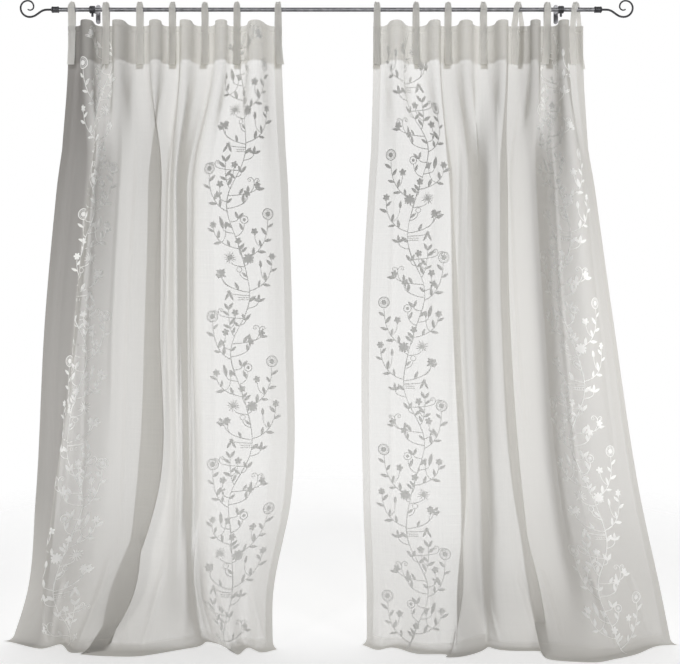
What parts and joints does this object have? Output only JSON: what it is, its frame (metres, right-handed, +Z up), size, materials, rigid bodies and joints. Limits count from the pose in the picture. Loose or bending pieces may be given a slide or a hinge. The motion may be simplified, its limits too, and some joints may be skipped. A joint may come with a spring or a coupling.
{
  "type": "pair of sheer voile tie-top curtains on a wall-mounted iron rod",
  "caption": "Pair of sheer voile curtains with embroidered vine borders, tied by soft bands over a slim iron rod with scroll ends on two wall brackets.",
  "frame": {"origin": "on the wall plane, midway between the two brackets, level with the rod's axis", "axes": "+X along the rod to the right seen from the room, +Y into the wall, +Z up"},
  "size_m": [2.5463, 0.2672, 2.4166],
  "materials": {
    "voile": "sheer plain-weave voile",
    "heading_voile": "doubled voile at the heading",
    "tie_voile": "folded voile bands",
    "iron": "forged, dark grey, satin"
  },
  "bodies": {
    "root": {"rod": "iron", "collar_left": "iron", "scroll_left": "iron", "clamp_left": "iron", "bracket_left": "iron", "screw_left": "iron", "panel_left": "voile", "facing_left": "heading_voile", "tie_left_1": "tie_voile", "tie_left_2": "tie_voile", "tie_left_3": "tie_voile", "tie_left_4": "tie_voile", "tie_left_5": "tie_voile", "tie_left_6": "tie_voile", "tie_left_7": "tie_voile", "collar_right": "iron", "scroll_right": "iron", "clamp_right": "iron", "bracket_right": "iron", "screw_right": "iron", "panel_right": "voile", "facing_right": "heading_voile", "tie_right_1": "tie_voile", "tie_right_2": "tie_voile", "tie_right_3": "tie_voile", "tie_right_4": "tie_voile", "tie_right_5": "tie_voile", "tie_right_6": "tie_voile", "tie_right_7": "tie_voile"}
  },
  "joints": []
}
